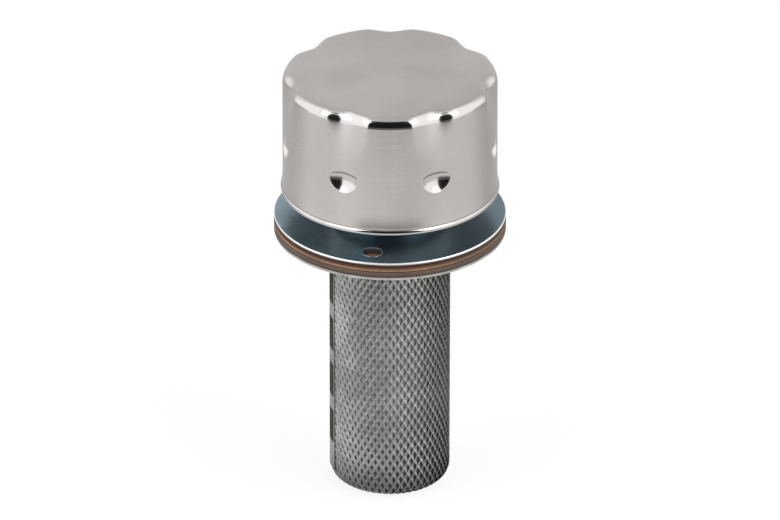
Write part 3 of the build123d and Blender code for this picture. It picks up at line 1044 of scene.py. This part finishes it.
@dataclass
class StrainerBasket:
    """Basket of fine expanded metal: a rolled wall, a dished bottom, gauze and a welded seam."""

    shop: PaintShop
    radius: float = 21.7 * MM
    corner: float = 5.0 * MM
    pitch: float = 2.6 * MM
    row: float = 2.3 * MM
    strand_width: float = 1.08 * MM
    strand_thick: float = 0.28 * MM
    strand_lap: float = 1.04            # the strands run past the bond by this share
    strand_waist: float = 0.14
    strand_crown: float = 0.08
    slant: float = 0.38
    sheet: float = 0.95 * MM
    taper: float = 0.008
    gauze_gap: float = 0.05 * MM
    gauze_thick: float = 0.1 * MM
    gauze_columns: int = 96
    gauze_corner_steps: int = 8
    seam_angle: float = math.radians(-75)
    seam_pitch: float = 18.6 * MM
    seam_bar: float = 12.8 * MM
    seam_first: float = 13.0 * MM       # from the wall's top to the first bar
    seam_steps: int = 8
    strip_sides: tuple[float, float] = (-0.19, 0.14)    # radians from the seam
    bar_sides: tuple[float, float] = (-0.15, 0.105)
    strip_skins: tuple[float, float] = (-0.25 * MM, 0.08 * MM)      # from the basket's radius
    bar_skins: tuple[float, float] = (-0.02 * MM, 0.14 * MM)
    top: float = field(init=False)
    foot: float = field(init=False)
    mesh_r: float = field(init=False)
    corner_r: float = field(init=False)
    columns: int = field(init=False)

    def __post_init__(self) -> None:
        """Takes the levels from the frame and works out the middle of the sheet."""
        self.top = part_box("basket_wall")[1][2]
        self.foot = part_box("basket_bottom")[0][2]
        self.mesh_r = self.radius - self.sheet / 2
        self.corner_r = self.corner - self.sheet / 2
        self.columns = round(2 * math.pi * self.mesh_r / self.pitch)

    def _tree(self, name: str) -> SizedTree:
        """A geometry tree with the mesh's named sizes.

        Args:
            name: Name of the tree and of its piece.

        Returns:
            The tree.
        """
        return SizedTree(name, {
            "Pitch": self.pitch, "Row Height": self.row, "Strand Width": self.strand_width,
            "Strand Thickness": self.strand_thick, "Slant": self.slant, "Mesh Radius": self.mesh_r,
            "Top": self.top, "Foot": self.foot, "Corner": self.corner_r})

    def strands(self, tree: SizedTree) -> Signal:
        """Geometry of one bond with its two strands, leaning left and right.

        Args:
            tree: The geometry tree.

        Returns:
            The joined strands, lying in the XY plane with Z outwards.
        """
        width, pitch, row = (tree.length(label) for label in ("Strand Width", "Pitch", "Row Height"))
        length = (pitch * pitch * 0.25 + row * row) ** 0.5 * self.strand_lap
        size = tree.join({0: width, 1: length, 2: tree.length("Strand Thickness")})
        bar = tree.raw("GeometryNodeMeshCube", None, {
            "Size": size, "Vertices X": 2, "Vertices Y": 5, "Vertices Z": 2})
        x, y, z = tree.spot()
        share = 1 - (y / (length * 0.5)).size() ** 3.0
        twisted = tree.moved(bar.outputs[0], {
            0: x * (1 - share * self.strand_waist), 1: y,
            2: z - x * tree.length("Slant") + share * width * self.strand_crown})
        both = tree.raw("GeometryNodeJoinGeometry")
        for side in (1.0, -1.0):
            lean = (pitch * 0.5).heading(row) * side
            put = tree.raw("GeometryNodeTransform", None, {
                "Geometry": twisted, "Translation": tree.join({0: pitch * (-0.25 * side), 1: row * 0.5}),
                "Rotation": tree.join({2: lean})})
            tree.plug(both.inputs[0], put.outputs[0])
        return tree.out(both, 0)

    def _lattice(self, tree: SizedTree, columns: int, rows: int,
                 keep: Callable[[Signal, Signal], Signal] | None = None) -> bpy.types.NodeSocket:
        """Strand pairs on a staggered grid in the XY plane.

        Args:
            tree: The geometry tree.
            columns: Bonds in a row.
            rows: Rows.
            keep: 1 where a bond at x and y stays, or nothing to keep all.

        Returns:
            The realized geometry.
        """
        grid = tree.raw("GeometryNodeMeshGrid", None, {
            "Size X": tree.length("Pitch") * float(columns - 1),
            "Size Y": tree.length("Row Height") * float(rows - 1),
            "Vertices X": columns, "Vertices Y": rows})
        points = tree.raw("GeometryNodeMeshToPoints", None, {"Mesh": grid.outputs[0]})
        index = tree.out(tree.raw("GeometryNodeInputIndex"), 0)
        odd = index.wrap(float(rows)).wrap(2.0)
        source = tree.moved(points.outputs[0], {0: odd * tree.length("Pitch") * 0.5}, "Offset")
        if keep is not None:
            x, y, _ = tree.spot()
            source = tree.raw("GeometryNodeDeleteGeometry", {"domain": "POINT"}, {
                "Geometry": source, "Selection": 1 - keep(x, y)}).outputs[0]
        placed = tree.raw("GeometryNodeInstanceOnPoints", None, {
            "Points": source, "Instance": self.strands(tree)})
        return tree.raw("GeometryNodeRealizeInstances", None, {0: placed.outputs[0]}).outputs[0]

    def wall(self) -> bpy.types.Object:
        """The rolled wall of expanded metal, drawn in round the foot's corner.

        Returns:
            The piece.
        """
        tree = self._tree("basket_wall_mesh")
        run = self.top - self.foot - self.corner + math.pi / 2 * self.corner_r
        rows = round(run / self.row)
        body = self._lattice(tree, self.columns, rows)
        u, v, w = tree.spot()
        corner = tree.length("Corner")
        angle = u * (2 * math.pi / self.columns) / tree.length("Pitch")
        # The lattice is centred on its own grid and hangs from the wall's top.
        level = v + (tree.length("Top") - tree.length("Row Height") * (rows / 2 + 0.5))
        bend_z = tree.length("Foot") + self.sheet / 2 + corner
        turn = ((bend_z - level).most(0.0) / corner).least(math.pi / 2)
        slimming = 1 - (tree.length("Top") - level) * (self.taper / (self.top - self.foot))
        reach = (tree.length("Mesh Radius") - corner + (corner + w) * turn.cosine()) * slimming
        height = level.most(bend_z) - (corner + w) * turn.sine()
        rolled = tree.moved(body, {0: reach * angle.sine(), 1: -(reach * angle.cosine()), 2: height})
        return tree.bake(rolled, self.shop.get(Stock.BASKET_ZINC))

    def bottom(self) -> bpy.types.Object:
        """The flat bottom of the same metal, inside the drawn corner.

        Returns:
            The piece.
        """
        tree = self._tree("basket_bottom_mesh")
        flat_r = self.mesh_r - self.corner_r
        columns = round(2 * flat_r / self.pitch) + 3
        rows = round(2 * flat_r / self.row) + 3

        def inside(x: Signal, y: Signal) -> Signal:
            """1 for the points whose strands lie on the bottom."""
            return 1 - (x * x + (y + self.row * 0.5) ** 2.0).above(flat_r ** 2)

        body = self._lattice(tree, columns, rows, inside)
        p, q, w = tree.spot()
        laid = tree.moved(body, {0: p, 1: -q, 2: tree.length("Foot") + self.sheet / 2 - w})
        return tree.bake(laid, self.shop.get(Stock.BASKET_ZINC))

    def liner(self) -> bpy.types.Object:
        """Fine gauze behind the expanded metal, too close to see its single wires.

        Returns:
            The piece.
        """
        radius = self.mesh_r - self.sheet / 2 - self.gauze_gap
        rise = self.foot + self.sheet + self.gauze_gap
        bend = self.corner_r - self.sheet / 2
        profile = [(radius, self.top)]
        for step in range(self.gauze_corner_steps + 1):
            turn = math.pi / 2 * step / self.gauze_corner_steps
            profile.append((radius - bend + bend * math.cos(turn), rise + bend - bend * math.sin(turn)))
        slim = [(r * (1 - self.taper * (self.top - z) / (self.top - self.foot)), z) for r, z in profile]
        thick = self.gauze_thick
        inner = [(r - thick, z + thick * (z < rise + bend)) for r, z in slim] + [(0.0, rise + thick)]
        bm = bmesh.new()
        rings = []
        for r, z in slim + [(0.0, rise)] + inner[::-1]:
            if r == 0.0:
                rings.append([bm.verts.new((0, 0, z))] * self.gauze_columns)
                continue
            turns = [2 * math.pi * column / self.gauze_columns for column in range(self.gauze_columns)]
            rings.append([bm.verts.new((r * math.cos(turn), r * math.sin(turn), z)) for turn in turns])
        skin(bm, rings, closed=True)
        return self.shop.coat(settle(bm, "basket_gauze"), Stock.GAUZE)

    def seam(self) -> bpy.types.Object:
        """The seam strip with its folded bars between the spot welds, painted dark as the shadow of the
        lapped edge.

        Returns:
            The piece.
        """
        bm = bmesh.new()
        self._plate(bm, self.strip_sides, self.strip_skins, (self.foot + self.corner, self.top), 0)
        level = self.top - self.seam_first
        while level - self.seam_bar > self.foot + self.corner:
            self._plate(bm, self.bar_sides, self.bar_skins, (level - self.seam_bar, level), 1)
            level -= self.seam_pitch
        piece = settle(bm, "basket_seam_strip", smooth=False)
        # The second slot gives the bars their painted shadow.
        # Clearing the slots would set every face back to the first one.
        for stock in (Stock.BASKET_ZINC, Stock.SEAM_SHADOW):
            piece.data.materials.append(self.shop.get(stock))
        return piece

    def _plate(self, bm: bmesh.types.BMesh, sides: tuple[float, float], skins: tuple[float, float],
               levels: tuple[float, float], slot: int) -> None:
        """Adds a closed curved plate at the seam.

        Args:
            bm: The mesh.
            sides: Angles of its two sides from the seam.
            skins: Its inner and outer skin from the basket's radius.
            levels: Its foot and top.
            slot: Its material slot.
        """
        columns = []
        inner, outer = (self.radius + offset for offset in skins)
        for step in range(self.seam_steps + 1):
            angle = self.seam_angle + sides[0] + (sides[1] - sides[0]) * step / self.seam_steps
            columns.append([bm.verts.new((r * math.sin(angle), -r * math.cos(angle), z)) for r, z in (
                (inner, levels[0]), (outer, levels[0]), (outer, levels[1]), (inner, levels[1]))])
        faces = [bm.faces.new(columns[0]), bm.faces.new(columns[-1][::-1])] + skin(bm, columns)
        for face in faces:
            face.material_index = slot

    def dress(self) -> None:
        """Builds the basket's pieces in place of its CAD solids."""
        for piece, node in ((self.wall(), "basket_wall"), (self.bottom(), "basket_bottom"),
                            (self.seam(), "basket_seam"), (self.liner(), None)):
            carry(piece, "tank_side", node)


# ------------------------------------------------------------------------------ flange screw holes
@dataclass
class HoleRims:
    """Bright burr round each screw hole of the flange, left by the punch."""

    shop: PaintShop
    mount: dict[str, float]
    plate: float = 1.4 * MM
    first: float = math.radians(-101)
    steps: int = 40
    section: tuple[tuple[float, float], ...] = (        # out from the bore, up from the plate
        (0.0, -0.2 * MM), (0.28 * MM, -0.05 * MM), (0.28 * MM, 0.01 * MM), (0.126 * MM, 0.1 * MM),
        (0.0, 0.02 * MM))

    def dress(self) -> None:
        """Adds the rims to the flange's top."""
        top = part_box("bayonet_flange")[0][2] + self.plate
        circle_r, hole_r = self.mount["pcd_mm"] / 2 * MM, self.mount["hole_r_mm"] * MM
        bm = bmesh.new()
        for hole in range(self.mount["count"]):
            turn = self.first + 2 * math.pi * hole / self.mount["count"]
            x, y = circle_r * math.cos(turn), circle_r * math.sin(turn)
            rings = []
            for step in range(self.steps):
                angle = 2 * math.pi * step / self.steps
                rings.append([bm.verts.new((x + (hole_r + out) * math.cos(angle),
                                            y + (hole_r + out) * math.sin(angle), top + up))
                              for out, up in self.section])
            skin(bm, rings, closed=True)
        piece = self.shop.coat(settle(bm, "flange_hole_rims"), Stock.BRIGHT_ZINC)
        carry(piece, "tank_side")


# ------------------------------------------------------------------------------ CAD solids
@dataclass
class BridgeSpring:
    """Coil spring on the stem, which shortens as the claw bridge is drawn down on it."""

    shop: PaintShop
    solid: bpy.types.Object
    joint: dict[str, object]

    def dress(self) -> None:
        """Copies the wire's solid in spring steel and carries it on the cap in place of the CAD spring."""
        low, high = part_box("bridge_spring")
        travel = max(abs(limit) for limit in self.joint["range_m"])
        piece = self.shop.coat(new_piece("bridge_spring_wire", self.solid.data.copy()), Stock.SPRING)
        carry(piece, "cap", "bridge_spring")
        1 - travel / (high[2] - low[2])
        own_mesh(piece)


@dataclass
class CarriedNodes:
    """CAD nodes whose solids already have their form: they only get their finish."""

    shop: PaintShop
    nodes: dict[str, bpy.types.Object]
    finishes: dict[str, Stock] = field(default_factory=lambda: {
        "bayonet_flange": Stock.BLUE_ZINC,
        "upper_gasket": Stock.UPPER_GASKET,
        "lower_gasket": Stock.LOWER_GASKET,
        "basket_flange": Stock.BRIGHT_ZINC,
        "base_pan": Stock.BRIGHT_ZINC,
        "filter_core": Stock.BRIGHT_ZINC,
        "filter_foam": Stock.FOAM,
        "filter_top_plate": Stock.BRIGHT_ZINC,
        "cap_seal": Stock.RUBBER,
        "centre_stem": Stock.BRIGHT_ZINC,
        "stem_washer": Stock.BRIGHT_ZINC,
        "spring_washer": Stock.BRIGHT_ZINC,
        "stem_nut": Stock.BRIGHT_ZINC,
        "bayonet_bridge": Stock.BLUE_ZINC,
    })

    def dress(self) -> None:
        """Coats every carried node."""
        for name, stock in self.finishes.items():
            self.shop.coat(self.nodes[name], stock)
            log.info("%s in %s", name, stock.name.lower())


# ------------------------------------------------------------------------------ studio
@dataclass
class Studio:
    """White floor and tent with a dark gap at the front, two soft boxes and the camera."""

    elevation: float = math.radians(27.3)
    distance: float = 5.0
    frame_width: float = 279.4 * MM
    aim_z: float = -13.3 * MM
    gap_half_angle: float = math.radians(33)
    gap_glow: float = 0.02
    tent: float = 0.78
    sky_gain: tuple[float, float] = (0.85, 0.95)        # left, right
    table_gain: tuple[float, float] = (0.45, 0.5)
    table_edge: float = 0.42
    table_line: float = 0.75                            # how far the panels dim just past the edge
    back_shade: float = 0.42                            # how far the floor behind the object dims
    paper: float = 0.86                                 # the floor's own light, for the camera
    box_angle: float = 52.0                             # degrees to each side
    box_rise: float = 42.0
    box_distance: float = 1.2
    box_side: float = 0.7
    box_watts: tuple[float, float] = (2.4, 3.4)         # left, right

    def _panels(self, x: Signal, y: Signal, gain: tuple[float, float]) -> tuple[Signal, Signal]:
        """The dark gap and the bright panels in a direction.

        Args:
            x: The direction's part to the right.
            y: The direction's part to the back.
            gain: How bright the left and the right panel are.

        Returns:
            The share of the gap, and the light that the panels add.
        """
        side = x.heading(-y)
        right = side.above(0.0)
        away = side.size()
        past = away.step(self.gap_half_angle - 0.05, self.gap_half_angle + 0.05)
        return 1 - past, past * (1 - away.step(1.8, 2.5)) * (right * (gain[1] - gain[0]) + gain[0])

    def world(self) -> None:
        """The tent: white for the camera, pale in reflections, with the dark gap at the front."""
        world = bpy.data.worlds.new("tent")
        bpy.context.scene.world = world
        world.use_nodes = True
        graph = Graph(world.node_tree)
        x, y, z = graph.split(graph.raw("ShaderNodeTexCoord").outputs["Generated"])
        gap, panel = self._panels(x, y, self.sky_gain)
        gap = gap * (1 - z.step(0.86, 0.93))
        glow = (self.tent + panel * (1 - z.step(0.9, 0.98))) * (1 - gap) + self.gap_glow
        seen = graph.out(graph.raw("ShaderNodeLightPath"), "Is Camera Ray")
        shine = graph.raw("ShaderNodeBackground", None, {
            "Color": (1, 1, 1, 1), "Strength": glow + (1 - glow) * seen})
        graph.raw("ShaderNodeOutputWorld", None, {"Surface": shine.outputs[0]})

    def _floor_paint(self) -> bpy.types.Material:
        """White paper that keeps a shadow, and mirrors as a lit table with an edge and the gap.

        Returns:
            The material.
        """
        material = bpy.data.materials.new("white_floor")
        material.use_nodes = True
        graph = Graph(material.node_tree)
        paper = graph.raw("ShaderNodeBsdfDiffuse", None, {"Color": (0.9, 0.9, 0.9, 1)})
        path = graph.raw("ShaderNodeLightPath")
        mirror = graph.out(path, "Is Glossy Ray")
        x, y, _ = graph.split(graph.raw("ShaderNodeTexCoord").outputs["Object"])
        gap, panel = self._panels(x, y, self.table_gain)
        reach = (x * x + y * y) ** 0.5
        edge = reach.step(self.table_edge - 0.05, self.table_edge + 0.05)
        near = edge * (1 - reach.step(self.table_edge * 1.6, self.table_edge * 2.2))
        line = near * panel * self.table_line
        lit = (1 + edge * panel) * (1 - edge * gap * 0.98) * (1 - line)
        strength = 1 + mirror * (lit * (1 - y.step(-0.02, 0.16) * self.back_shade) - 1)
        glow = graph.raw("ShaderNodeEmission", None, {"Color": (1, 1, 1, 1), "Strength": strength})
        seen = graph.out(path, "Is Camera Ray").most(mirror).most(graph.out(path, "Is Transmission Ray"))
        mixed = graph.raw("ShaderNodeMixShader", None, {
            0: seen * self.paper, 1: paper.outputs[0], 2: glow.outputs[0]})
        graph.raw("ShaderNodeOutputMaterial", None, {"Surface": mixed.outputs[0]})
        return material

    def floor(self, reach: float = 3.0) -> None:
        """A wide pale floor under the object.

        Args:
            reach: From its middle to each side.
        """
        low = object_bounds()[0][2]
        bm = bmesh.new()
        corners = ((-reach, -reach), (reach, -reach), (reach, reach), (-reach, reach))
        bm.faces.new([bm.verts.new((x, y, low)) for x, y in corners])
        mesh = bpy.data.meshes.new("floor")
        bm.to_mesh(mesh)
        bm.free()
        floor = new_piece("floor", mesh)
        floor.data.materials.append(self._floor_paint())
        floor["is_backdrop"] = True

    def lamp(self, name: str, azimuth: float, power: float) -> None:
        """A square soft box that looks at the object.

        Args:
            name: The lamp's name.
            azimuth: Degrees from the front, positive to the right.
            power: Watts.
        """
        data = bpy.data.lights.new(name, "AREA")
        data.shape = "SQUARE"
        data.size = self.box_side
        data.energy = power
        lamp = bpy.data.objects.new(name, data)
        bpy.context.scene.collection.objects.link(lamp)
        turn, rise = math.radians(azimuth), math.radians(self.box_rise)
        away = Vector((math.sin(turn) * math.cos(rise), -math.cos(turn) * math.cos(rise), math.sin(rise)))
        lamp.location = away * self.box_distance
        lamp.rotation_euler = (-away).to_track_quat("-Z", "Y").to_euler()

    def camera(self) -> None:
        """A long lens from the front, looking down."""
        data = bpy.data.cameras.new("camera")
        data.sensor_width = 36.0
        data.lens = data.sensor_width * self.distance / self.frame_width
        data.clip_end = 20.0
        camera = bpy.data.objects.new("camera", data)
        bpy.context.scene.collection.objects.link(camera)
        away = Vector((0.0, -math.cos(self.elevation), math.sin(self.elevation)))
        camera.location = Vector((0.0, 0.0, self.aim_z)) + away * self.distance
        camera.rotation_euler = (-away).to_track_quat("-Z", "Y").to_euler()
        bpy.context.scene.camera = camera

    def build(self) -> None:
        """Sets the whole studio."""
        bpy.context.scene.view_settings.view_transform = "Standard"
        self.world()
        self.floor()
        self.lamp("box_left", -self.box_angle, self.box_watts[0])
        self.lamp("box_right", self.box_angle, self.box_watts[1])
        self.camera()


def main() -> None:
    """Builds every sub-assembly in order round the frame."""
    logging.basicConfig(level=logging.INFO, format="%(name)s: %(message)s")
    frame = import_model()
    mounts = {mount["name"]: mount["dims"] for mount in frame["record"]["mounts"]}
    joints = {joint["name"]: joint for joint in frame["joints"]}
    shop = PaintShop()
    CapShell(shop).dress()
    StrainerBasket(shop).dress()
    HoleRims(shop, mounts["screw_circle"]).dress()
    BridgeSpring(shop, frame["nodes"]["bridge_spring"], joints["bridge_draw"]).dress()
    CarriedNodes(shop, frame["nodes"]).dress()
    Studio().build()


if __name__ == "__main__":
    main()
